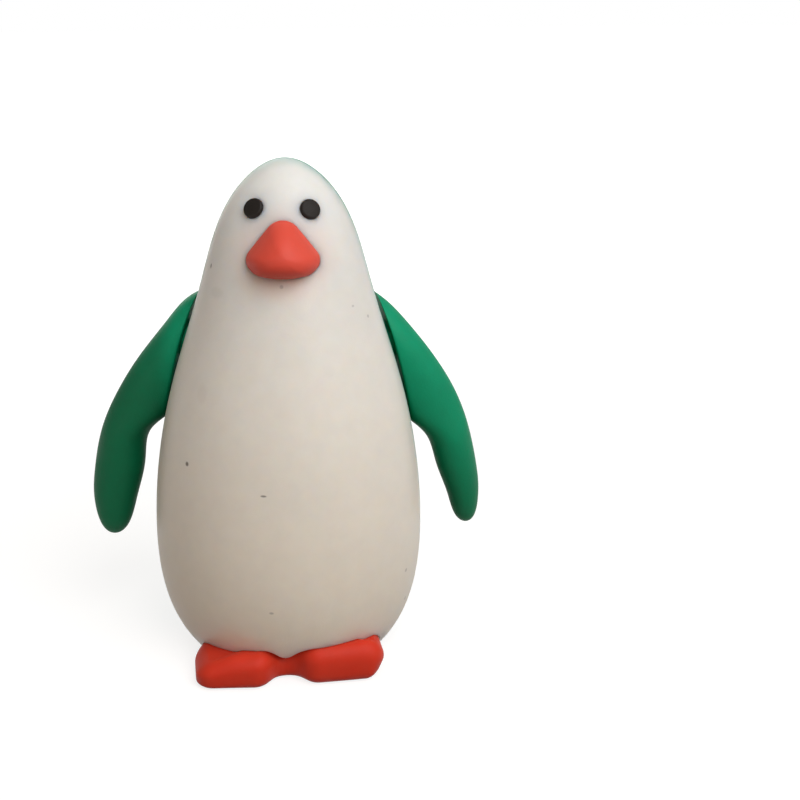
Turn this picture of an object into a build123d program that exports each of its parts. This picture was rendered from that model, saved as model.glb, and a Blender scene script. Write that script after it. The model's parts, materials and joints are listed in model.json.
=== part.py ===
"""Penguin pencil topper: a soft rubber eraser plugged together from eight one-colour mouldings.

Units are millimetres. +Z is up, the figure faces -Y, and its own left is +X.
The origin is the middle of the pencil socket's mouth, on the plane that the figure stands on.
"""

from build123d import *
import os
from math import atan2, cos, radians, sin, sqrt, tan

# Body: an egg given by its half widths at a stack of heights, with a full front and a flatter back
base_half_width = 7.3
belly_half_width = 10.1
belly_height = 10.9
chest_half_width = 8.5
belly_to_chest = 9.8
cheek_half_width = 6.2
chest_to_cheek = 7.4
crown_half_width = 2.8
cheek_to_crown = 7.5
crown_drop = 1.4
front_ratio = 0.92
back_ratio = 0.82
body_setback = 0.6

# Coat: the shell that covers the back of the egg and meets the front at the widest plane
coat_wall = 1.8

# Pencil socket: a blind hole that grips the end of a pencil
socket_radius = 3.6
socket_depth = 14.0
socket_wall = 1.25

# Eyes: flat black buttons on plugs
eye_radius = 0.72
eye_spacing = 3.86
eye_drop = 3.05
eye_rise = 0.22
eye_edge = 0.18
eye_plug = 1.4

# Beak: a rounded triangle that swells to a blunt tip, on a root and a peg
beak_height = 3.95
beak_drop = 5.5
beak_half_angle = 37.5
beak_crest_radius = 1.4
beak_corner_radius = 1.2
beak_root = 0.9
beak_lip = 0.25
beak_reach = 2.0
beak_droop = 0.5
beak_peg_radius = 0.9
beak_peg = 2.0

# Feet: two rounded pads joined in the middle, on two pegs
feet_span = 14.0
feet_thickness = 2.4
feet_reach = 8.2
feet_notch = 1.7
feet_heel = 2.0
feet_overlap = 0.3
toe_inset = 1.9
toe_sweep = 0.4
toe_round = 1.4
feet_top_round = 0.9
feet_sole_round = 0.5
feet_twist = 8.0
feet_shift = -0.6
feet_peg_radius = 0.9
feet_peg = 3.0
feet_peg_edge = 0.35
feet_peg_bearing = 45.0

# Flippers: curved tapering paddles, each on a hub and a peg in the shoulder
flipper_top = 27.1
armpit_height = 16.9
flipper_width = 4.6
flipper_fullness = 0.92
shoulder_tuck = 0.9
shoulder_drop = 1.3
shoulder_lean = 37.0
elbow_height = 17.9
left_elbow_spread = 10.95
right_elbow_spread = 11.25
left_tip_spread = 13.45
right_tip_spread = 14.0
left_tip_height = 8.75
right_tip_height = 7.55
tip_round = 0.9
flank_bearing = 12.0
hub_height = 23.4
hub_radius = 1.4
hub_rim = 0.7
hub_bite = 0.7
peg_radius = 1.0
peg_bite = 2.2

# Clearances: between plugged mouldings, round a turning peg, and along the body's side
seat_gap = 0.05
turn_gap = 0.05
flank_gap = 0.2

chest_height = belly_height + belly_to_chest
cheek_height = chest_height + chest_to_cheek
crown_height = cheek_height + cheek_to_crown
total_height = crown_height + crown_drop

feet_plane = Plane((feet_shift, 0, 0), x_dir=(cos(radians(feet_twist)), sin(radians(feet_twist)), 0))
feet_middle = Plane(feet_plane.origin, z_dir=feet_plane.x_dir)
flipper_setback = hub_rim + turn_gap + hub_radius
flipper_y = body_setback + seat_gap + flipper_setback


def egg_line(inset):
    """The egg's side line from base to top, as half width against height, moved in by a wall."""
    slant = inset / sqrt(2)
    return Spline(
        (base_half_width - inset, 0),
        (belly_half_width - inset, belly_height),
        (chest_half_width - inset, chest_height),
        (cheek_half_width - inset, cheek_height),
        (crown_half_width - slant, crown_height - slant),
        (0, total_height - inset),
        tangents=((1, 1), (-1, 0)),
        tangent_scalars=(1, 1),
    )


def half_egg(inset, ratio, turn, setback):
    """Half of the egg, moved in by a wall: turned about Z from side to side, then flattened."""
    line = egg_line(inset)
    with BuildPart() as half:
        with BuildSketch(Plane.XZ):
            with BuildLine():
                add(line)
                Polyline(line @ 1, (0, 0), line @ 0)
            make_face()
        revolve(axis=Axis((0, 0, 0), (0, 0, turn)), revolution_arc=180)
        scale(by=(1, ratio, 1))
    return Pos(0, setback, 0) * half.part


def front_half():
    """The front half of the egg."""
    return half_egg(0, front_ratio, -1, body_setback)


def back_half(inset, gap):
    """The back half of the egg, moved in by a wall and a gap behind the front."""
    return half_egg(inset, back_ratio, 1, body_setback + gap)


side_line = egg_line(0)


def half_width(height):
    """The egg's half width at a height."""
    return side_line.find_intersection_points(Axis((0, height, 0), (1, 0, 0)))[0].X


def face_plane(across, height):
    """The plane that touches the front of the egg, with its normal outwards and its Y upwards."""
    width = half_width(height)
    step = 0.01
    slope = (half_width(height + step) - half_width(height - step)) / (2 * step)
    forward = sqrt(width**2 - across**2)
    normal = Vector(across, -forward / front_ratio, -width * slope)
    sideways = Vector(0, 0, 1).cross(normal)
    return Plane((across, body_setback - front_ratio * forward, height), x_dir=sideways, z_dir=normal)


def flank_plane(side):
    """The flat inner face of a flipper: along the coat's side and clear of it, normal outwards."""
    bearing = radians(flank_bearing)
    girth = sqrt(cos(bearing) ** 2 + (back_ratio * sin(bearing)) ** 2)
    rise = flipper_top - armpit_height
    lean = girth * (half_width(armpit_height) - half_width(flipper_top)) / rise
    tilt = atan2(lean, 1)
    heights = [armpit_height + rise * step / 10 for step in range(11)]
    reach = max(girth * half_width(height) + lean * (height - hub_height) for height in heights)
    reach += flank_gap / cos(tilt)
    across = (reach - flipper_setback * sin(bearing)) / cos(bearing)
    normal = (side * cos(tilt) * cos(bearing), cos(tilt) * sin(bearing), sin(tilt))
    return Plane((side * across, flipper_y, hub_height), x_dir=(0, 1, 0), z_dir=normal)


left_flank = flank_plane(1)
right_flank = flank_plane(-1)

# The hub reaches from the flank into the coat, and its peg goes through the coat into the core
coat_at_hub = sqrt(half_width(hub_height) ** 2 - (flipper_setback / back_ratio) ** 2)
hub_depth = (left_flank.origin.X - coat_at_hub) * left_flank.z_dir.X + hub_bite
peg_length = coat_wall - hub_bite + peg_bite


# The flipper's width at even steps along its line, as shares of its greatest width
flipper_taper = (0.7, 0.94, 1, 0.9, 0.73, 0.62, 0.48)


def make_flipper(side, elbow_spread, tip_spread, tip_height):
    """A flipper: ovals along a bowed line, cut flat along the body's side, with a hub and a peg."""
    flank = flank_plane(side)
    shoulder = (side * (half_width(flipper_top) - shoulder_tuck), flipper_y, flipper_top - shoulder_drop)
    elbow = (side * elbow_spread, flipper_y, elbow_height)
    tip = (side * tip_spread, flipper_y, tip_height)
    lean = (side * sin(radians(shoulder_lean)), 0, -cos(radians(shoulder_lean)))
    with BuildPart() as flipper:
        with BuildLine() as line:
            Spline(shoulder, elbow, tip, tangents=(lean, (0, 0, -1)), tangent_scalars=(1, 1))
        bow = line.edge()
        for step, share in enumerate(flipper_taper):
            along = step / (len(flipper_taper) - 1)
            with BuildSketch(Plane(bow @ along, x_dir=(0, 1, 0), z_dir=bow % along)):
                Ellipse(flipper_fullness * share * flipper_width / 2, share * flipper_width / 2)
        loft()
        fillet(flipper.faces().sort_by(Axis.Z)[0].edges(), tip_round)
        split(bisect_by=flank, keep=Keep.TOP)
        with BuildSketch(flank):
            Circle(hub_radius)
        extrude(amount=-hub_depth)
        with BuildSketch(flank.offset(-hub_depth)):
            Circle(peg_radius)
        extrude(amount=-peg_length)
    return flipper.part


def foot_pads(growth, notch, sole_round):
    """The sole of both feet, grown by a clearance where it cuts the pocket that takes it."""
    outer = feet_span / 2 + growth
    inner = -feet_overlap - growth
    toe = -feet_reach - growth
    heel = growth - feet_heel
    with BuildPart() as pads:
        with BuildSketch(feet_plane):
            with BuildLine():
                FilletPolyline(
                    (inner, heel),
                    (inner, toe + notch),
                    (toe_inset, toe),
                    (outer, toe + toe_sweep),
                    (outer, heel),
                    radius=toe_round,
                    close=True,
                )
            make_face()
        extrude(amount=feet_thickness + growth)
        fillet(pads.edges().group_by(Axis.Z)[-1], feet_top_round)
        if sole_round > 0:
            fillet(pads.edges().group_by(Axis.Z)[0], sole_round)
        split(bisect_by=feet_middle, keep=Keep.TOP)
        mirror(about=feet_middle)
        with BuildSketch(Plane.XY):
            Circle(socket_radius + socket_wall - growth)
        extrude(amount=feet_thickness + growth, mode=Mode.SUBTRACT)
    return pads.part


feet_peg_circle = socket_radius + socket_wall + feet_peg_edge + feet_peg_radius
feet_peg_spots = [
    (side * feet_peg_circle * sin(radians(feet_peg_bearing)), -feet_peg_circle * cos(radians(feet_peg_bearing)))
    for side in (1, -1)
]


def beak_outline(share):
    """The beak's rounded triangle at a share of its full size."""
    crest = beak_crest_radius * (1 / sin(radians(beak_half_angle)) - 1)
    top = share * (beak_height / 2 + crest)
    low = -share * beak_height / 2
    spread = (top - low) * tan(radians(beak_half_angle))
    with BuildSketch() as outline:
        with BuildLine():
            FilletPolyline(
                (0, top),
                (-spread, low),
                (spread, low),
                radius=(share * beak_crest_radius, share * beak_corner_radius, share * beak_corner_radius),
                close=True,
            )
        make_face()
    return outline.sketch


beak_plane = face_plane(0, total_height - beak_drop)
eye_planes = [face_plane(side * eye_spacing / 2, total_height - eye_drop) for side in (1, -1)]

# The white front and core: the front of the egg, with a smaller half behind the seam
with BuildPart() as belly_body:
    add(front_half())
    add(back_half(coat_wall + seat_gap, 0))
    with BuildSketch(Plane.XY):
        Circle(socket_radius)
    extrude(amount=socket_depth, mode=Mode.SUBTRACT)
    add(foot_pads(seat_gap, 0, 0), mode=Mode.SUBTRACT)
    with BuildSketch(feet_plane):
        with Locations(*feet_peg_spots):
            Circle(feet_peg_radius + seat_gap)
    extrude(amount=feet_thickness + feet_peg + seat_gap, mode=Mode.SUBTRACT)
    with BuildSketch(*eye_planes):
        Circle(eye_radius + seat_gap)
    extrude(amount=-eye_plug - seat_gap, mode=Mode.SUBTRACT)
    with BuildSketch(beak_plane.offset(-beak_root - seat_gap)):
        add(beak_outline(1))
        offset(amount=seat_gap)
    extrude(amount=beak_root + beak_reach, mode=Mode.SUBTRACT)
    with BuildSketch(beak_plane):
        Circle(beak_peg_radius + seat_gap)
    extrude(amount=-beak_root - beak_peg - seat_gap, mode=Mode.SUBTRACT)
    with BuildSketch(left_flank, right_flank):
        Circle(peg_radius + turn_gap)
    extrude(amount=-hub_depth - peg_length - turn_gap, mode=Mode.SUBTRACT)

# The green hood and back: a shell over the core, with a recess and a hole for each flipper
with BuildPart() as back_coat:
    add(back_half(0, seat_gap))
    add(back_half(coat_wall, seat_gap), mode=Mode.SUBTRACT)
    with BuildSketch(left_flank, right_flank):
        Circle(hub_radius + turn_gap)
    extrude(amount=-hub_depth - turn_gap, mode=Mode.SUBTRACT)
    with BuildSketch(left_flank, right_flank):
        Circle(peg_radius + turn_gap)
    extrude(amount=-hub_depth - peg_length, mode=Mode.SUBTRACT)

# The flippers: alike, but the right one hangs a little lower and further out
left_flipper = make_flipper(1, left_elbow_spread, left_tip_spread, left_tip_height)
right_flipper = make_flipper(-1, right_elbow_spread, right_tip_spread, right_tip_height)

# The beak: the root fills its pocket, and the swell leans down to the tip
with BuildPart() as beak:
    with BuildSketch(beak_plane.offset(-beak_root)):
        add(beak_outline(1))
    extrude(amount=beak_root + beak_lip)
    for along in (0, 0.3, 0.6, 0.85, 0.96):
        rise = beak_lip + along * (beak_reach - beak_lip)
        centre = beak_plane.from_local_coords((0, -beak_droop * along, rise))
        with BuildSketch(Plane(centre, x_dir=beak_plane.x_dir, z_dir=beak_plane.z_dir)):
            add(beak_outline((1 - along**1.25) ** 0.625))
    loft()
    with BuildSketch(beak_plane.offset(-beak_root)):
        Circle(beak_peg_radius)
    extrude(amount=-beak_peg)

# The eyes: buttons with a rounded edge, pushed in square to the face
eyes = []
for plane in eye_planes:
    with BuildPart() as eye:
        with BuildSketch(plane.offset(-eye_plug)):
            Circle(eye_radius)
        extrude(amount=eye_plug + eye_rise)
        fillet(eye.faces().sort_by(Axis(plane.origin, plane.z_dir))[-1].edges(), eye_edge)
    eyes.append(eye.part)

# The feet: the sole with its two pegs
with BuildPart() as feet:
    add(foot_pads(0, feet_notch, feet_sole_round))
    with BuildSketch(feet_plane.offset(feet_thickness)):
        with Locations(*feet_peg_spots):
            Circle(feet_peg_radius)
    extrude(amount=feet_peg)

pieces = {
    "belly_body": belly_body.part,
    "back_coat": back_coat.part,
    "left_flipper": left_flipper,
    "right_flipper": right_flipper,
    "beak": beak.part,
    "left_eye": eyes[0],
    "right_eye": eyes[1],
    "feet": feet.part,
}

os.makedirs("parts", exist_ok=True)
for name, piece in pieces.items():
    piece.label = name
    export_step(piece, f"parts/{name}.step")
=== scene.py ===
import json
from math import asin, atan2, cos, pi, radians, sin, sqrt, tan

import bmesh
import bpy
import numpy as np
from mathutils import Matrix, Vector


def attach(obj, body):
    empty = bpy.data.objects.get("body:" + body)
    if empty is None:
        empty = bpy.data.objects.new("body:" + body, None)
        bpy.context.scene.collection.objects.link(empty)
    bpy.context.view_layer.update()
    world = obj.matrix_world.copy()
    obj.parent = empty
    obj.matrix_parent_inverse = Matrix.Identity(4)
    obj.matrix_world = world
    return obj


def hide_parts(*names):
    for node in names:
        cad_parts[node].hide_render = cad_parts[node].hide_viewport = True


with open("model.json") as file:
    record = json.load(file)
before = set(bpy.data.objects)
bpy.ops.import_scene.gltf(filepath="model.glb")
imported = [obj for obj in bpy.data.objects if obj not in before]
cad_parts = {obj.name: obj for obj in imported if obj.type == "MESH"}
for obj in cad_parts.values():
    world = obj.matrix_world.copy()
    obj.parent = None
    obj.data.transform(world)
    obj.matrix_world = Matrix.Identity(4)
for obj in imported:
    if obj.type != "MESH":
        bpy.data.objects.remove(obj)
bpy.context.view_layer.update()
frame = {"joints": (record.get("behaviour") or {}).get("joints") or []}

# Belly body: the milky white front of the figure and the core that the coat lies on, moulded as one
# piece of soft, slightly clear rubber. A blind hole in the base grips the end of the pencil.
mm = 0.001
egg_stations = [(7.3, 0), (10.1, 10.9), (8.5, 20.7), (6.2, 28.1), (2.8, 35.6), (0, 37)]
front_ratio = 0.92
back_ratio = 0.82
body_setback = 0.6
coat_wall = 1.8
seat_gap = 0.05
socket_radius = 3.6
socket_depth = 14.0
mouth_round = 0.15
base_round = 0.3
seam_lip = 0.12
egg_rows = 170
egg_columns = 110
base_rows = 3
lip_steps = 4
least_radius = 1e-5
merge_distance = 1e-4
crease_angle = radians(40)


def smooth_line(points, start, end, count):
    """Points along a smooth line through given points, with its first and last direction."""
    points = np.array(points, float)
    steps = np.linalg.norm(np.diff(points, axis=0), axis=1)
    places = np.concatenate(([0.0], np.cumsum(steps)))
    balance = np.eye(len(points))
    slopes = np.zeros_like(points)
    slopes[0] = np.array(start) / np.linalg.norm(start)
    slopes[-1] = np.array(end) / np.linalg.norm(end)
    for here in range(1, len(points) - 1):
        before, after = steps[here - 1], steps[here]
        balance[here, here - 1:here + 2] = after, 2 * (before + after), before
        rise_before = (points[here] - points[here - 1]) * after / before
        rise_after = (points[here + 1] - points[here]) * before / after
        slopes[here] = 3 * (rise_before + rise_after)
    slopes = np.linalg.solve(balance, slopes)
    along = np.linspace(0, places[-1], count)
    span = np.clip(np.searchsorted(places, along, side="right") - 1, 0, len(steps) - 1)
    length = steps[span][:, None]
    share = (along - places[span])[:, None] / length
    return (
        (1 + 2 * share) * (1 - share) ** 2 * points[span]
        + share * (1 - share) ** 2 * length * slopes[span]
        + share**2 * (3 - 2 * share) * points[span + 1]
        + share**2 * (share - 1) * length * slopes[span + 1]
    )


def egg_line(inset):
    """The egg's side line from base to top, moved in by a wall, with its base edge rounded."""
    slant = inset / sqrt(2)
    walls = [(inset, 0)] * 4 + [(slant, slant), (0, inset)]
    line = smooth_line(np.array(egg_stations) - walls, (1, 1), (-1, 0), egg_rows)
    turn = np.linspace(0, 1, base_rows + 2)[:-1, None]
    lead = (1 - turn) ** 2 * (line[0] - (base_round, 0)) + 2 * turn * (1 - turn) * line[0]
    lead = lead + turn**2 * line[base_rows]
    return np.vstack([lead, line[base_rows:]])


outer_line = egg_line(0)


def half_width(height):
    """The egg's half width at a height."""
    return float(np.interp(height, outer_line[:, 1], outer_line[:, 0]))


def half_loop(radius, ratio, lip):
    """Half an oval from side to side, with both corners softened, as points across and outwards."""
    radius = max(radius, least_radius)
    lip = min(lip, radius / 3)
    bend = np.linspace(0, pi / 2, lip_steps)[:-1]
    corner = np.stack([radius - lip + lip * np.sin(bend), lip - lip * np.cos(bend)], 1)
    first = asin(lip / (ratio * radius))
    sweep = np.linspace(first, pi - first, egg_columns)
    wall = np.stack([radius * np.cos(sweep), ratio * radius * np.sin(sweep)], 1)
    return np.vstack([corner, wall, corner[::-1] * (-1, 1)])


def add_ring(mesh, across, height):
    """A ring of points at one height."""
    return [mesh.verts.new((x, y, height)) for x, y in across]


def skin(mesh, rings, closed=True):
    """Faces between each ring and the next."""
    for lower, upper in zip(rings, rings[1:]):
        count = len(lower)
        for here in range(count if closed else count - 1):
            there = (here + 1) % count
            mesh.faces.new((lower[here], lower[there], upper[there], upper[here]))


def make_piece(name, mesh):
    """A finished object from a mesh that was drawn in millimetres."""
    bmesh.ops.remove_doubles(mesh, verts=mesh.verts, dist=merge_distance)
    bmesh.ops.recalc_face_normals(mesh, faces=mesh.faces)
    bmesh.ops.scale(mesh, vec=(mm, mm, mm), verts=mesh.verts)
    data = bpy.data.meshes.new(name)
    mesh.to_mesh(data)
    mesh.free()
    piece = bpy.data.objects.new(name, data)
    bpy.context.scene.collection.objects.link(piece)
    smooth(piece)
    return piece


def smooth(piece):
    """Even shading, with creases only where the surface turns sharply."""
    piece.data.shade_smooth()
    piece.data.set_sharp_from_angle(angle=crease_angle)


def carve(piece, tool, way):
    """Cuts a tool's shape out of a piece, or joins it on, and clears the tool away."""
    step = piece.modifiers.new("carve", "BOOLEAN")
    step.operation = way
    step.solver = "EXACT"
    step.object = tool
    graph = bpy.context.evaluated_depsgraph_get()
    piece.data = bpy.data.meshes.new_from_object(piece.evaluated_get(graph))
    piece.modifiers.clear()
    bpy.data.objects.remove(tool)
    smooth(piece)


mesh = bmesh.new()
rings = []
for (width, height), (core_width, core_height) in zip(outer_line, egg_line(coat_wall + seat_gap)):
    front = half_loop(width, front_ratio, seam_lip) * (1, -1) + (0, body_setback)
    back = half_loop(core_width, back_ratio, 0)[::-1] + (0, body_setback)
    rings.append(add_ring(mesh, front, height) + add_ring(mesh, back, core_height))
bearings = [atan2(point.co.y, point.co.x) for point in rings[0]]
round_loop = np.array([(cos(bearing), sin(bearing)) for bearing in bearings])
socket = [
    add_ring(mesh, 0 * round_loop, socket_depth),
    add_ring(mesh, socket_radius * round_loop, socket_depth),
]
for bend in np.linspace(0, pi / 2, lip_steps):
    reach = socket_radius + mouth_round * (1 - cos(bend))
    socket.append(add_ring(mesh, reach * round_loop, mouth_round * (1 - sin(bend))))
skin(mesh, socket + rings)
belly = make_piece("belly_moulding", mesh)


def add_node(tree, kind, inputs=None, **settings):
    """A node with its settings, and its inputs as values or as links."""
    made = tree.nodes.new(kind)
    for name, value in settings.items():
        setattr(made, name, value)
    for name, value in (inputs or {}).items():
        if isinstance(value, bpy.types.NodeSocket):
            tree.links.new(value, made.inputs[name])
        else:
            made.inputs[name].default_value = value
    return made


def add_math(tree, operation, *values):
    """The result of a sum on values or links."""
    return add_node(tree, "ShaderNodeMath", dict(enumerate(values)), operation=operation).outputs[0]


def soft_step(tree, value, start, end, low=0.0, high=1.0):
    """A value that passes softly from low to high between two marks."""
    inputs = {"Value": value, "From Min": start, "From Max": end, "To Min": low, "To Max": high}
    return add_node(tree, "ShaderNodeMapRange", inputs, interpolation_type="SMOOTHSTEP").outputs[0]


def mix_colour(tree, factor, first, second):
    """A mix of two colours, which are sockets 6 and 7 of the node, with the result at output 2."""
    inputs = {"Factor": factor, 6: first, 7: second}
    return add_node(tree, "ShaderNodeMix", inputs, data_type="RGBA").outputs[2]


def new_group(name, inputs, outputs):
    """An empty node group with named sockets, and its two ends."""
    group = bpy.data.node_groups.new(name, "ShaderNodeTree")
    for label, kind in inputs.items():
        group.interface.new_socket(label, in_out="INPUT", socket_type="NodeSocket" + kind)
    for label, kind in outputs.items():
        group.interface.new_socket(label, in_out="OUTPUT", socket_type="NodeSocket" + kind)
    return group, group.nodes.new("NodeGroupInput"), group.nodes.new("NodeGroupOutput")


def use_group(tree, group, inputs):
    """A node group placed in a material with its own values."""
    return add_node(tree, "ShaderNodeGroup", inputs, node_tree=group)


# Moulded rubber skin: slow clouds in the colour, and a fine dry grain in the shine and the surface.
# Each noise has a scale and a detail.
noises = {"cloud": (170.0, 3.0), "bloom": (900.0, 4.0), "grain": (6500.0, 2.0)}
noise_middle = 0.5
bloom_shine = 0.25
bloom_relief = 0.6
relief_strength = 0.5
rubber_skin, skin_in, skin_out = new_group(
    "rubber_skin",
    {"Colour": "Color", "Mottle": "Float", "Roughness": "Float"},
    {"Colour": "Color", "Roughness": "Float", "Height": "Float"},
)
place = add_node(rubber_skin, "ShaderNodeTexCoord").outputs["Object"]
layers = {}
for name, (scale, detail) in noises.items():
    inputs = {"Vector": place, "Scale": scale, "Detail": detail}
    layers[name] = add_node(rubber_skin, "ShaderNodeTexNoise", inputs).outputs[0]
clouds = add_math(rubber_skin, "ADD", layers["cloud"], layers["bloom"])
drift = add_math(rubber_skin, "SUBTRACT", clouds, 2 * noise_middle)
factor = add_math(rubber_skin, "MULTIPLY_ADD", drift, skin_in.outputs["Mottle"], 1.0)
inputs = {0: skin_in.outputs["Colour"], "Scale": factor}
tinted = add_node(rubber_skin, "ShaderNodeVectorMath", inputs, operation="SCALE").outputs[0]
rubber_skin.links.new(tinted, skin_out.inputs["Colour"])
uneven = add_math(rubber_skin, "SUBTRACT", layers["bloom"], noise_middle)
dry = add_math(rubber_skin, "MULTIPLY_ADD", uneven, bloom_shine, skin_in.outputs["Roughness"])
rubber_skin.links.new(dry, skin_out.inputs["Roughness"])
relief = add_math(rubber_skin, "MULTIPLY_ADD", layers["bloom"], bloom_relief, layers["grain"])
rubber_skin.links.new(relief, skin_out.inputs["Height"])

# Fleck and glow spot: a soft mask round a place, longer along one way, for specks of dirt and for the
# painted coral glow of light from the beak
spot_core = 0.4
fleck_and_glow_spot, spot_in, spot_out = new_group(
    "fleck_and_glow_spot", {"Place": "Vector", "Stretch": "Vector", "Size": "Float"}, {"Mask": "Float"}
)
away = add_node(fleck_and_glow_spot, "ShaderNodeTexCoord").outputs["Object"]
for operation, label in (("SUBTRACT", "Place"), ("MULTIPLY", "Stretch")):
    inputs = {0: away, 1: spot_in.outputs[label]}
    away = add_node(fleck_and_glow_spot, "ShaderNodeVectorMath", inputs, operation=operation).outputs[0]
away = add_node(fleck_and_glow_spot, "ShaderNodeVectorMath", {0: away}, operation="LENGTH").outputs["Value"]
ratio = add_math(fleck_and_glow_spot, "DIVIDE", away, spot_in.outputs["Size"])
spot = soft_step(fleck_and_glow_spot, ratio, spot_core, 1.0, low=1.0, high=0.0)
fleck_and_glow_spot.links.new(spot, spot_out.inputs["Mask"])


def start_material(name, roughness, grain_depth, mottle, shine):
    """A rubber material with a mottled skin and a relief of a given depth, ready for a colour."""
    material = bpy.data.materials.new(name)
    material.use_nodes = True
    tree = material.node_tree
    shader = tree.nodes["Principled BSDF"]
    shader.inputs["Specular IOR Level"].default_value = shine
    surface = use_group(tree, rubber_skin, {"Roughness": roughness, "Mottle": mottle})
    height = surface.outputs["Height"]
    inputs = {"Height": height, "Distance": grain_depth * mm, "Strength": relief_strength}
    bump = add_node(tree, "ShaderNodeBump", inputs)
    tree.links.new(surface.outputs["Roughness"], shader.inputs["Roughness"])
    tree.links.new(bump.outputs[0], shader.inputs["Normal"])
    return material, tree, shader, surface


def let_light_in(shader, weight, tint, depth):
    """Light that spreads under the skin, with its share, its colour and its depth in millimetres."""
    shader.inputs["Subsurface Weight"].default_value = weight
    shader.inputs["Subsurface Radius"].default_value = tint
    shader.inputs["Subsurface Scale"].default_value = depth * mm


# The white is yellower towards the base, partly a yellowed tone and partly painted warm light from below;
# beside the seam it carries painted green shade, and near the beak a painted coral glow of light from the
# beak.
# Each fleck has a place, how much it narrows along each axis, a size and a strength.
white_colour = (0.81, 0.80, 0.77, 1)
yellowed_warm_lit_white = (0.81, 0.745, 0.64, 1)
yellowed_warm_lit_heights = (31.0, 3.0)
painted_seam_shade = (0.42, 0.66, 0.56, 1)
painted_seam_reach = 1.7
painted_seam_strength = 0.7
painted_beak_glow_colour = (0.98, 0.66, 0.54, 1)
painted_beak_glow_place = (0, -4.6, 31.2)
painted_beak_glow_stretch = (1, 0.5, 1.15)
painted_beak_glow_reach = 4.6
painted_beak_glow_strength = 0.42
fleck_colour = (0.10, 0.075, 0.055, 1)
flecks = [
    ((-6.92, -5.39, 16.29), (1, 1, 1), 0.22, 0.85),
    ((-1.35, -8.24, 15.01), (0.7, 1, 2.0), 0.2, 0.7),
    ((-0.91, -8.52, 6.15), (0.8, 1, 1.4), 0.18, 0.4),
    ((-5.16, -1.68, 29.78), (1.8, 1, 0.7), 0.18, 0.7),
    ((8.86, -3.82, 7.33), (1, 1, 1), 0.2, 0.35),
    ((8.89, -2.89, 4.55), (1, 1, 1), 0.2, 0.35),
    ((5.88, -2.42, 26.33), (1, 1, 1), 0.16, 0.3),
    ((4.8, -3.35, 27.28), (1, 1, 1.5), 0.16, 0.25),
    ((-0.08, -4.88, 28.97), (1, 1, 1), 0.18, 0.3),
    ((-4.69, -3.09, 28.19), (0.5, 0.5, 0.9), 0.45, 0.07),
    ((-5.74, -4.93, 21.36), (0.9, 0.6, 0.5), 0.5, 0.06),
]
white_rubber, tree, shader, surface = start_material(
    "white_rubber", roughness=0.42, grain_depth=0.02, mottle=0.08, shine=0.35
)
let_light_in(shader, weight=0.9, tint=(1.0, 0.8, 0.62), depth=2.4)
place = add_node(tree, "ShaderNodeTexCoord").outputs["Object"]
place = add_node(tree, "ShaderNodeSeparateXYZ", {0: place}).outputs
# Painted warm light from below mixed with a yellowed tone: the white turns warmer from the crown down to
# the base.
warm_lit_from, warm_lit_to = [height * mm for height in yellowed_warm_lit_heights]
inputs = {"Value": place["Z"], "From Min": warm_lit_from, "From Max": warm_lit_to}
yellowing_and_warm_light = add_node(tree, "ShaderNodeMapRange", inputs).outputs[0]
tree.links.new(mix_colour(tree, yellowing_and_warm_light, white_colour, yellowed_warm_lit_white), surface.inputs["Colour"])
# Painted shade on the white beside the seam, tinted green like light that passes through the thin white
# edge and picks up the coat.
painted_seam_start = (body_setback - painted_seam_reach) * mm
painted_seam_mask = soft_step(tree, place["Y"], painted_seam_start, body_setback * mm, high=painted_seam_strength)
colour = mix_colour(tree, painted_seam_mask, surface.outputs["Colour"], painted_seam_shade)
# The first mark is a painted coral glow, light thrown from the beak onto the white; the flecks after it
# are specks of dirt.
marks = [(painted_beak_glow_place, painted_beak_glow_stretch, painted_beak_glow_reach, painted_beak_glow_strength, painted_beak_glow_colour)]
marks += [(*fleck, fleck_colour) for fleck in flecks]
for spot, stretch, size, strength, tint in marks:
    inputs = {"Place": [value * mm for value in spot], "Stretch": stretch, "Size": size * mm}
    mask = use_group(tree, fleck_and_glow_spot, inputs).outputs["Mask"]
    colour = mix_colour(tree, add_math(tree, "MULTIPLY", mask, strength), colour, tint)
tree.links.new(colour, shader.inputs["Base Color"])
belly.data.materials.append(white_rubber)
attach(belly, "body")
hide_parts("belly_body")

# Back coat: the green hood and back, a shell of soft rubber slipped over the core.
# It meets the white front in a fine seam round the sides and over the crown.
mesh = bmesh.new()
shells = []
for inset, lip in ((0, seam_lip), (coat_wall, 0)):
    shells.append(
        [
            add_ring(mesh, half_loop(width, back_ratio, lip) + (0, body_setback + seat_gap), height)
            for width, height in egg_line(inset)
        ]
    )
rings = [outside + inside[::-1] for outside, inside in zip(*shells)]
skin(mesh, rings)
skin(mesh, [shells[0][0], shells[1][0]], closed=False)
coat = make_piece("coat_moulding", mesh)

# The green is painted darker low down and far out, so mostly on the flippers, and more on the figure's
# right: painted shade, not a colour of the rubber
green_colour = (0.001, 0.30, 0.148, 1)
painted_shade_green = (0.001, 0.14, 0.058, 1)
painted_shade_heights = (29.0, 13.0)
painted_shade_reach = (8.0, 10.0)
painted_shade_tilt = 0.4
green_rubber, tree, shader, surface = start_material(
    "green_rubber", roughness=0.55, grain_depth=0.025, mottle=0.22, shine=0.2
)
let_light_in(shader, weight=0.15, tint=(0.2, 1.0, 0.6), depth=0.5)
place = add_node(tree, "ShaderNodeTexCoord").outputs["Object"]
place = add_node(tree, "ShaderNodeSeparateXYZ", {0: place}).outputs
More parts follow.
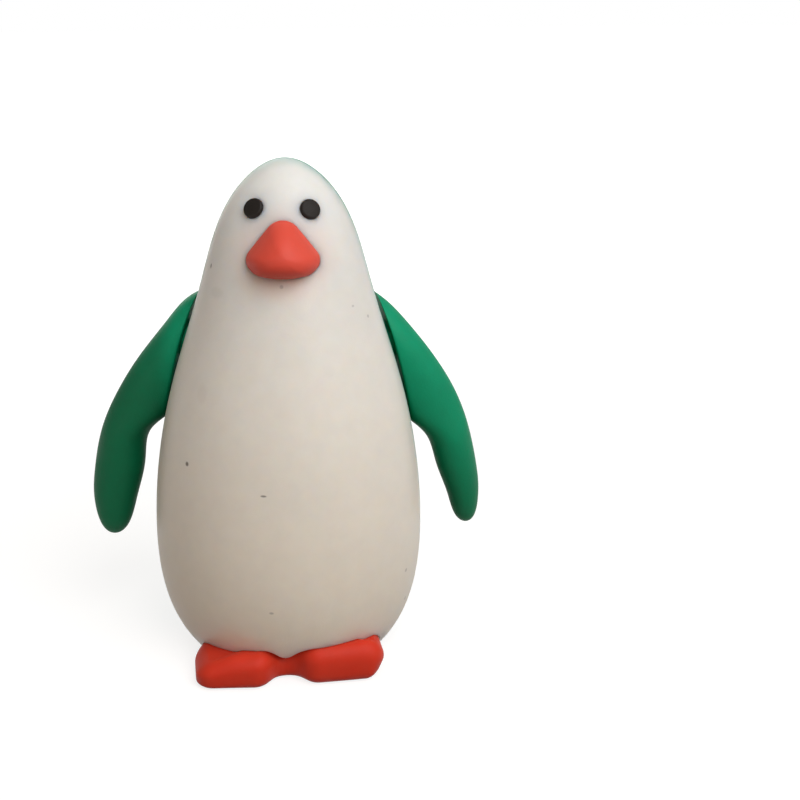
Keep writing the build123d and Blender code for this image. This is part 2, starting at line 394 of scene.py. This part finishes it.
# Painted shade: the darkening fades towards the top and the body's middle, and is tilted so that the
# figure's right side is darker.
tilted = add_math(tree, "MULTIPLY_ADD", place["X"], painted_shade_tilt, place["Z"])
low_down = soft_step(tree, tilted, painted_shade_heights[0] * mm, painted_shade_heights[1] * mm)
across = add_math(tree, "ABSOLUTE", place["X"])
far_out = soft_step(tree, across, painted_shade_reach[0] * mm, painted_shade_reach[1] * mm)
painted_shade = add_math(tree, "MULTIPLY", low_down, far_out)
tree.links.new(mix_colour(tree, painted_shade, green_colour, painted_shade_green), surface.inputs["Colour"])
tree.links.new(surface.outputs["Colour"], shader.inputs["Base Color"])
coat.data.materials.append(green_rubber)
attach(coat, "body")
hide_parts("back_coat")

# Flippers: two plump green paddles of the same rubber, nearly flat where they lie along the body.
# Each has a round hub in a recess of the coat and a peg in the core, and turns there with friction.
hub_radius = 1.4
hub_root = 0.9
hub_depth = 1.07
peg_radius = 1.0
peg_length = 3.3
turn_gap = 0.05
flank_soft = 0.28
flank_hug = 0.04
flank_curve = 65.0
crown_cut = 0.17
flipper_rows = 140
flipper_columns = 96
edge_points = 400


def lathe(stations, plane, count=64):
    """A closed turned shape from radii and heights along a plane's normal."""
    mesh = bmesh.new()
    turns = np.linspace(0, 2 * pi, count, endpoint=False)
    rings = []
    for radius, height in stations:
        ring = [plane @ Vector((radius * cos(turn), radius * sin(turn), height)) for turn in turns]
        rings.append([mesh.verts.new(point) for point in ring])
    skin(mesh, rings)
    return mesh


def axis_frame(origin, normal):
    """The frame at a point whose Z is a given direction."""
    turn = Vector((0, 0, 1)).rotation_difference(Vector(normal)).to_matrix().to_4x4()
    return Matrix.Translation(Vector(origin)) @ turn


def stem_line(gap):
    """The radii and heights of a flipper's hub and peg, grown by a gap where they cut their hole."""
    hub = hub_radius + gap
    peg = peg_radius + gap
    step = -hub_depth - gap
    end = -hub_depth - peg_length - gap
    return [(0, hub_root), (hub, hub_root), (hub, step), (peg, step), (peg, end), (0, end)]


def make_flipper(name, side, joint, outer, inner, thickness):
    """A flipper from its outer edge, its inner edge and its half thickness, all against height."""
    pivot = Vector(joint["pos_m"]) / mm
    outward = Vector(joint["axis"])
    if outward.x * side < 0:
        outward = -outward
    outer_edge = smooth_line(outer, (1, -0.3), (-1, 0), edge_points)[::-1]
    inner_edge = smooth_line(inner, (0, -1), (1, 0), edge_points)[::-1]
    swell = smooth_line(thickness, (1, 0), (-1, 0), edge_points)[::-1]
    top = outer[0][1]
    tip = outer[-1][1]
    turns = np.linspace(0, 2 * pi, flipper_columns, endpoint=False)
    mesh = bmesh.new()
    rings = []
    # The top is closed just below its point, where the paddle would thin out to nothing
    for step in np.linspace(crown_cut, pi, flipper_rows):
        height = (top + tip) / 2 + (top - tip) / 2 * cos(step)
        outside = np.interp(height, outer_edge[:, 1], outer_edge[:, 0])
        inside = np.interp(height, inner_edge[:, 1], inner_edge[:, 0])
        deep = np.interp(height, swell[:, 1], swell[:, 0])
        across = (outside + inside) / 2 + np.cos(turns) * (outside - inside) / 2
        behind = pivot.y + deep * np.sin(turns)
        slide = outward.y * (pivot.y - behind) + outward.z * (pivot.z - height)
        slide -= flank_hug + ((pivot.y - behind) ** 2 + (pivot.z - height) ** 2) / (2 * flank_curve)
        flank = abs(pivot.x) + slide / abs(outward.x)
        clear = across - flank
        across = flank + (clear + np.sqrt(clear**2 + flank_soft**2)) / 2
        rings.append(add_ring(mesh, np.stack([side * across, behind], 1), height))
    skin(mesh, rings)
    mesh.faces.new(rings[0])
    piece = make_piece(name, mesh)
    shoulder = axis_frame(pivot, outward)
    carve(piece, make_piece("stem", lathe(stem_line(0), shoulder)), "UNION")
    for body in (coat, belly):
        carve(body, make_piece("stem_hole", lathe(stem_line(turn_gap), shoulder)), "DIFFERENCE")
    piece.data.materials.append(green_rubber)
    return piece


joints = {joint["name"]: joint for joint in frame["joints"]}
left_outer = [(5.9, 27.05), (6.9, 26.55), (8.8, 24.75), (11.03, 21.97), (12.77, 19.13)]
left_outer += [(13.86, 16.25), (14.55, 13.2), (14.78, 10.6), (13.85, 8.5)]
left_inner = [(5.9, 27.05), (6.2, 23.5), (7.0, 19.6), (8.3, 17.6), (9.5, 16.75)]
left_inner += [(10.6, 15.65), (11.38, 13.45), (12.4, 10.72), (13.85, 8.5)]
left_swell = [(0, 27.05), (1.6, 25.6), (2.1, 21.5), (1.85, 16.5), (1.45, 11.5), (0, 8.5)]
right_outer = [(5.9, 27.2), (7.35, 26.55), (9.05, 24.77), (11.3, 21.97), (13.15, 19.1)]
right_outer += [(14.48, 16.2), (15.25, 12.8), (15.4, 9.9), (13.95, 7.32)]
right_inner = [(5.9, 27.2), (6.2, 23.5), (7.0, 19.8), (8.3, 18.0), (9.7, 16.98)]
right_inner += [(10.75, 15.92), (11.22, 13.6), (12.05, 10.3), (13.95, 7.32)]
right_swell = [(0, 27.2), (1.6, 25.7), (2.1, 21.5), (1.85, 16.0), (1.45, 10.5), (0, 7.32)]
left_flipper = make_flipper(
    "left_flipper_moulding", 1, joints["left_flipper_swing"], left_outer, left_inner, left_swell
)
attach(left_flipper, "left_flipper")
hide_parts("left_flipper")
right_flipper = make_flipper(
    "right_flipper_moulding", -1, joints["right_flipper_swing"], right_outer, right_inner, right_swell
)
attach(right_flipper, "right_flipper")
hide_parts("right_flipper")

# Beak: a coral-red rounded triangle that swells to a blunt, drooping tip, moulded in soft rubber.
# Its root sits in a pocket of the face, and a peg behind the root holds it there.
beak_height = 3.95
beak_drop = 5.6
beak_half_angle = radians(40)
beak_crest_radius = 1.3
beak_corner_radius = 0.88
beak_bow = 0.45
bow_height = 0.9
bow_half_width = 2.3
beak_root = 0.9
beak_lip = 0.12
beak_reach = 2.0
beak_droop = 0.85
beak_swell = 2.1
beak_bluntness = 0.68
snug_gap = 0.02
beak_peg_radius = 0.9
beak_peg = 2.0
beak_columns = 120
beak_rows = 40
corner_steps = 24
slope_step = 0.05
face_search = (0.5, -3.0)
search_halvings = 30
total_height = egg_stations[-1][1]


def face_frame(across, height):
    """The frame on the face with its Z outwards and its Y upwards."""
    width = half_width(height)
    slope = (half_width(height + slope_step) - half_width(height - slope_step)) / (2 * slope_step)
    forward = sqrt(width**2 - across**2)
    normal = Vector((across, -forward / front_ratio, -width * slope)).normalized()
    sideways = Vector((0, 0, 1)).cross(normal).normalized()
    upwards = normal.cross(sideways)
    turn = Matrix((sideways, upwards, normal)).transposed().to_4x4()
    return Matrix.Translation((across, body_setback - front_ratio * forward, height)) @ turn


def round_outline(corners, radii, count):
    """A closed outline with a rounding at each corner, as evenly spaced points."""
    corners = [np.array(corner, float) for corner in corners]
    points = []
    for here, (corner, radius) in enumerate(zip(corners, radii)):
        before = corners[here - 1] - corner
        after = corners[(here + 1) % len(corners)] - corner
        before /= np.linalg.norm(before)
        after /= np.linalg.norm(after)
        half = np.arccos(np.clip(before @ after, -1, 1)) / 2
        bisector = (before + after) / np.linalg.norm(before + after)
        centre = corner + bisector * radius / sin(half)
        begin = corner + before * radius / tan(half) - centre
        finish = corner + after * radius / tan(half) - centre
        first = atan2(begin[1], begin[0])
        sweep = (atan2(finish[1], finish[0]) - first + pi) % (2 * pi) - pi
        for share in np.linspace(0, 1, corner_steps):
            angle = first + share * sweep
            points.append(centre + radius * np.array([cos(angle), sin(angle)]))
    points.append(points[0])
    points = np.array(points)
    along = np.concatenate(([0], np.cumsum(np.linalg.norm(np.diff(points, axis=0), axis=1))))
    even = np.linspace(0, along[-1], count, endpoint=False)
    return np.stack([np.interp(even, along, points[:, 0]), np.interp(even, along, points[:, 1])], 1)


crest = beak_crest_radius * (1 / sin(beak_half_angle) - 1)
beak_top = beak_height / 2 + crest
beak_low = -beak_height / 2 + beak_bow
beak_spread = (beak_top - beak_low) * tan(beak_half_angle)
beak_outline = round_outline(
    [(0, beak_top), (-beak_spread, beak_low), (beak_spread, beak_low)],
    [beak_crest_radius, beak_corner_radius, beak_corner_radius],
    beak_columns,
)
low_share = np.clip((beak_low + bow_height - beak_outline[:, 1]) / bow_height, 0, 1)
middle_share = np.clip(1 - (beak_outline[:, 0] / bow_half_width) ** 2, 0, 1)
beak_outline[:, 1] -= beak_bow * low_share * middle_share
beak_frame = face_frame(0, total_height - beak_drop)


def face_drop(x, y):
    """How far the face lies behind the beak's own plane at a place on it."""
    near, far = face_search
    for halving in range(search_halvings):
        middle = (near + far) / 2
        point = beak_frame @ Vector((x, y, middle))
        width = half_width(point.z)
        outside = (point.x / width) ** 2 + ((point.y - body_setback) / (front_ratio * width)) ** 2 > 1
        if outside:
            near = middle
        else:
            far = middle
    return near


def beak_solid(growth, tip):
    """The beak's rings from the end of its peg to its tip, or to a plain top where it cuts a pocket."""
    bearings = np.arctan2(beak_outline[:, 1], beak_outline[:, 0])
    circle = np.stack([np.cos(bearings), np.sin(bearings)], 1)
    lengths = np.linalg.norm(beak_outline, axis=1)[:, None]
    edge = beak_outline * (1 + growth / lengths)
    low = -beak_root - growth
    rim = np.array([face_drop(x, y) for x, y in beak_outline]) + beak_lip
    levels = [(0 * circle, low - beak_peg), ((beak_peg_radius + growth) * circle, low - beak_peg)]
    levels += [((beak_peg_radius + growth) * circle, low), (edge, low)]
    if tip:
        for share in np.cos(np.linspace(0, pi / 2, beak_rows)):
            rise = (1 - share**beak_swell) ** beak_bluntness
            levels.append((edge * share + (0, -beak_droop * rise), rim * (1 - rise) + beak_reach * rise))
    else:
        levels += [(edge, beak_reach), (0 * edge, beak_reach)]
    mesh = bmesh.new()
    rings = []
    for level, heights in levels:
        points = np.column_stack([level, np.broadcast_to(heights, len(level))])
        rings.append([mesh.verts.new(beak_frame @ Vector(point)) for point in points])
    skin(mesh, rings)
    return mesh


def plain_rubber(name, colour, **skin_values):
    """A rubber material of one colour under the skin's mottle and grain, and its shader."""
    material, tree, shader, surface = start_material(name, **skin_values)
    surface.inputs["Colour"].default_value = colour
    tree.links.new(surface.outputs["Colour"], shader.inputs["Base Color"])
    return material, shader


beak = make_piece("beak_moulding", beak_solid(0, True))
carve(belly, make_piece("beak_pocket", beak_solid(snug_gap, False)), "DIFFERENCE")
coral_colour = (0.75, 0.084, 0.052, 1)
red_glow = (1.0, 0.35, 0.2)
coral_rubber, shader = plain_rubber(
    "coral_rubber", coral_colour, roughness=0.5, grain_depth=0.022, mottle=0.12, shine=0.25
)
let_light_in(shader, weight=0.25, tint=red_glow, depth=0.6)
beak.data.materials.append(coral_rubber)
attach(beak, "body")
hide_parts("beak")

# Eyes: two black rubber buttons with rounded rims and a slight dome.
# A plug behind each button is pushed into a round hole in the face.
eye_radius = 0.72
eye_places = {"left_eye": (1.85, 3.1), "right_eye": (-2.04, 3.04)}
eye_rise = 0.2
eye_dome = 0.07
eye_edge = 0.16
eye_plug = 1.4
eye_edge_steps = 8
eye_dome_shares = (0.75, 0.5, 0.25, 0)
black_colour = (0.014, 0.011, 0.009, 1)
black_rubber, shader = plain_rubber(
    "black_rubber", black_colour, roughness=0.5, grain_depth=0.02, mottle=0.3, shine=0.2
)


def pin_line(radius, low, high):
    """The radii and heights of a plain round pin."""
    return [(0, low), (radius, low), (radius, high), (0, high)]


for name, (across, drop) in eye_places.items():
    eye_frame = face_frame(across, total_height - drop)
    stations = [(0, -eye_plug), (eye_radius, -eye_plug), (eye_radius, eye_rise - eye_edge)]
    for bend in np.linspace(0, pi / 2, eye_edge_steps)[1:]:
        stations.append((eye_radius - eye_edge * (1 - cos(bend)), eye_rise - eye_edge * (1 - sin(bend))))
    for share in eye_dome_shares:
        stations.append(((eye_radius - eye_edge) * share, eye_rise + eye_dome * (1 - share**2)))
    eye = make_piece(name + "_button", lathe(stations, eye_frame))
    hole = pin_line(eye_radius + snug_gap, -eye_plug - seat_gap, eye_plug)
    carve(belly, make_piece("eye_hole", lathe(hole, eye_frame)), "DIFFERENCE")
    eye.data.materials.append(black_rubber)
    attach(eye, "body")
    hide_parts(name)

# Feet: one moulding of soft red rubber, two plump pads joined by a waist, a little askew under the belly.
# It lies in a pocket of the base, held by two pegs, and its soles are flat on the desk.
# The line of its top is given from side to side, in shares of the thickness.
feet_thickness = 2.4
feet_reach = 8.3
feet_notch = 1.95
pocket_notch = 0.3
feet_heel = 2.0
waist_place = -0.35
left_inset = 1.4
left_end = 7.25
left_toe_sweep = 0.1
right_inset = 2.15
right_end = 7.0
right_toe_sweep = 0.2
feet_bulge = 0.25
feet_top = [(-7.6, 0.5), (-6.6, 0.65), (-5.5, 0.83), (-4.2, 0.98), (-2.8, 1.03), (-1.4, 1.0)]
feet_top += [(-0.35, 0.81), (0.45, 1.08), (1.4, 1.18), (4.5, 1.21), (6.0, 1.16), (7.6, 0.84)]
top_points = 200
toe_round = 1.4
heel_round = 1.4
outer_heel_round = 3.2
notch_round = 1.2
feet_top_round = 1.05
feet_top_steps = 9
feet_sole_round = 0.65
feet_sole_steps = 7
end_tuck = 0.9
tuck_start = 4.5
tuck_length = 2.5
feet_twist = radians(8)
feet_shift = -0.6
feet_peg_radius = 0.9
feet_peg = 3.0
feet_peg_ring = 6.1
feet_peg_bearing = radians(45)
collar_radius = 4.85
collar_ends = (-1, 5)
feet_columns = 260
feet_frame = Matrix.Translation((feet_shift, 0, 0)) @ Matrix.Rotation(feet_twist, 4, "Z")
top_line = smooth_line(feet_top, (1, 0), (1, 0), top_points)


def feet_solid(growth, notch, sole_round):
    """The pads' rings from the sole to the top, grown by a clearance where they cut their pocket."""
    toe = -feet_reach
    corners = [(waist_place, toe + notch), (left_inset, toe - feet_bulge / 2)]
    corners += [(left_end, toe + left_toe_sweep), (left_end, -feet_heel), (-right_end, -feet_heel)]
    corners += [(-right_end, toe + right_toe_sweep), (-right_inset, toe - feet_bulge)]
    radii = [notch_round, toe_round, toe_round, heel_round, outer_heel_round, toe_round, toe_round]
    outline = round_outline(corners, radii, feet_columns)
    along = np.roll(outline, -1, 0) - np.roll(outline, 1, 0)
    outward = np.stack([along[:, 1], -along[:, 0]], 1) / np.linalg.norm(along, axis=1)[:, None]
    levels = []
    for bend in np.linspace(0, pi / 2, feet_sole_steps):
        levels.append((sole_round * (1 - sin(bend)), sole_round * (1 - cos(bend))))
    for bend in np.linspace(0, pi / 2, feet_top_steps):
        fall = feet_top_round * (1 - sin(bend))
        levels.append((feet_top_round * (1 - cos(bend)), feet_thickness + growth - fall))
    loops = [(outline + outward * (growth - inset), height) for inset, height in levels]
    middle = 0 * outline + (0, (toe + feet_notch - feet_heel) / 2)
    loops = [(middle, loops[0][1])] + loops + [(middle, loops[-1][1])]
    mesh = bmesh.new()
    rings = []
    for loop, height in loops:
        ring = []
        for x, y in loop:
            share = np.interp(x, top_line[:, 0], top_line[:, 1])
            near_end = np.clip((x - tuck_start) / tuck_length, 0, 1)
            tuck = end_tuck * (1 - height / feet_thickness) * near_end
            ring.append(mesh.verts.new(feet_frame @ Vector((x - tuck, y, height * share))))
        rings.append(ring)
    skin(mesh, rings)
    return mesh


feet = make_piece("feet_moulding", feet_solid(0, feet_notch, feet_sole_round))
pocket = make_piece("feet_pocket", feet_solid(seat_gap, pocket_notch, 0))
for piece, radius in ((feet, collar_radius), (pocket, collar_radius - seat_gap)):
    collar = lathe(pin_line(radius, *collar_ends), Matrix())
    carve(piece, make_piece("collar", collar), "DIFFERENCE")
carve(belly, pocket, "DIFFERENCE")
peg_across = feet_peg_ring * sin(feet_peg_bearing)
peg_forward = feet_peg_ring * cos(feet_peg_bearing)
peg_low = feet_thickness / 2
peg_high = feet_thickness + feet_peg
for side in (1, -1):
    peg_frame = feet_frame @ Matrix.Translation((side * peg_across, -peg_forward, 0))
    peg = lathe(pin_line(feet_peg_radius, peg_low, peg_high), peg_frame)
    carve(feet, make_piece("feet_peg", peg), "UNION")
    hole = lathe(pin_line(feet_peg_radius + seat_gap, peg_low, peg_high + seat_gap), peg_frame)
    carve(belly, make_piece("feet_peg_hole", hole), "DIFFERENCE")
red_colour = (0.62, 0.04, 0.017, 1)
red_rubber, shader = plain_rubber(
    "red_rubber", red_colour, roughness=0.5, grain_depth=0.022, mottle=0.12, shine=0.15
)
let_light_in(shader, weight=0.6, tint=red_glow, depth=1.2)
feet.data.materials.append(red_rubber)
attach(feet, "body")
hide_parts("feet")

# Floor: a plain pale studio floor that runs out to white and keeps the figure's soft shadow.
# Light that falls on the figure from below comes off it as off a darker, warm desk.
floor_radius = 3000
floor_sides = 96
floor_gap = 0.02
white_from = 30
white_to = 120
near_glow = 0.78
paper_colour = (0.32, 0.315, 0.31, 1)
desk_colour = (0.15, 0.105, 0.07, 1)
mesh = bmesh.new()
bmesh.ops.create_circle(mesh, cap_ends=True, segments=floor_sides, radius=floor_radius * mm)
data = bpy.data.meshes.new("studio_floor")
mesh.to_mesh(data)
mesh.free()
floor = bpy.data.objects.new("studio_floor", data)
floor.location.z = -floor_gap * mm
bpy.context.scene.collection.objects.link(floor)
paper = bpy.data.materials.new("studio_paper")
paper.use_nodes = True
tree = paper.node_tree
tree.nodes.clear()
place = add_node(tree, "ShaderNodeTexCoord").outputs["Object"]
reach = add_node(tree, "ShaderNodeVectorMath", {0: place}, operation="LENGTH").outputs["Value"]
fade = soft_step(tree, reach, white_from * mm, white_to * mm, low=near_glow)
path = add_node(tree, "ShaderNodeLightPath")
seen = add_math(tree, "MAXIMUM", path.outputs["Is Camera Ray"], path.outputs["Is Glossy Ray"])
seen = add_math(tree, "MAXIMUM", seen, path.outputs["Is Transmission Ray"])
matt_paper = add_node(tree, "ShaderNodeBsdfDiffuse", {"Color": paper_colour}).outputs[0]
glow = add_node(tree, "ShaderNodeEmission", {"Color": (1, 1, 1, 1), "Strength": fade}).outputs[0]
seen_paper = add_node(tree, "ShaderNodeAddShader", {0: matt_paper, 1: glow}).outputs[0]
warm_desk = add_node(tree, "ShaderNodeBsdfDiffuse", {"Color": desk_colour}).outputs[0]
either = add_node(tree, "ShaderNodeMixShader", {0: seen, 1: warm_desk, 2: seen_paper}).outputs[0]
add_node(tree, "ShaderNodeOutputMaterial", {"Surface": either})
floor.data.materials.append(paper)

# Light: a large soft lamp high in front on the right, weak ones at the right side and low on the left,
# one behind for the rims, and a warm dim room. Each lamp has a place, a width, a power and a colour.
aim = Vector((0, 0, 18.5)) * mm
lamps = {
    "key_lamp": ((142, -190, 262), 320, 0.94, (1.0, 1.0, 1.0)),
    "side_lamp": ((235, -20, 200), 180, 0.06, (1.0, 1.0, 1.0)),
    "back_lamp": ((-80, 300, 110), 260, 0.3, (1.0, 0.97, 0.92)),
    "fill_lamp": ((-200, -220, 30), 200, 0.1, (1.0, 0.86, 0.72)),
}
room_colour = (1.0, 0.93, 0.86, 1)
room_strength = 0.32
for name, (spot, size, power, tint) in lamps.items():
    lamp = bpy.data.lights.new(name, "AREA")
    lamp.shape = "DISK"
    lamp.size = size * mm
    lamp.energy = power
    lamp.color = tint
    holder = bpy.data.objects.new(name, lamp)
    holder.location = Vector(spot) * mm
    holder.rotation_euler = (aim - holder.location).to_track_quat("-Z", "Y").to_euler()
    bpy.context.scene.collection.objects.link(holder)
world = bpy.data.worlds.new("studio_room")
bpy.context.scene.world = world
world.use_nodes = True
tree = world.node_tree
tree.nodes.clear()
seen = add_node(tree, "ShaderNodeLightPath").outputs["Is Camera Ray"]
inputs = {"Color": room_colour, "Strength": room_strength}
room = add_node(tree, "ShaderNodeBackground", inputs).outputs[0]
backdrop = add_node(tree, "ShaderNodeBackground", {"Color": (1, 1, 1, 1), "Strength": 1.0}).outputs[0]
either = add_node(tree, "ShaderNodeMixShader", {0: seen, 1: room, 2: backdrop}).outputs[0]
add_node(tree, "ShaderNodeOutputWorld", {"Surface": either})

# Camera: a short distance in front of the figure and above it, as the photograph was taken.
image_size = 800
view_distance = 85.0
view_height = 46.85
view_azimuth = radians(2.3)
view_roll = -0.011
focal_pixels = 1203.2
centre_pixel = (286.89, 410.6)
camera = bpy.data.cameras.new("camera")
camera.sensor_width = 36
camera.lens = focal_pixels * camera.sensor_width / image_size
camera.shift_x = (image_size / 2 - centre_pixel[0]) / image_size
camera.shift_y = (centre_pixel[1] - image_size / 2) / image_size
camera.clip_start = 5 * mm
camera.clip_end = 20
viewer = bpy.data.objects.new("camera", camera)
spot = Vector((sin(view_azimuth) * view_distance, -cos(view_azimuth) * view_distance, view_height)) * mm
forward = (aim - spot).normalized()
right = forward.cross(Vector((0, 0, 1))).normalized()
upward = right.cross(forward)
tilted_right = right * cos(view_roll) + upward * sin(view_roll)
tilted_up = upward * cos(view_roll) - right * sin(view_roll)
turn = Matrix((tilted_right, tilted_up, -forward)).transposed().to_4x4()
viewer.matrix_world = Matrix.Translation(spot) @ turn
bpy.context.scene.collection.objects.link(viewer)
bpy.context.scene.camera = viewer
bpy.context.scene.view_settings.view_transform = "Standard"
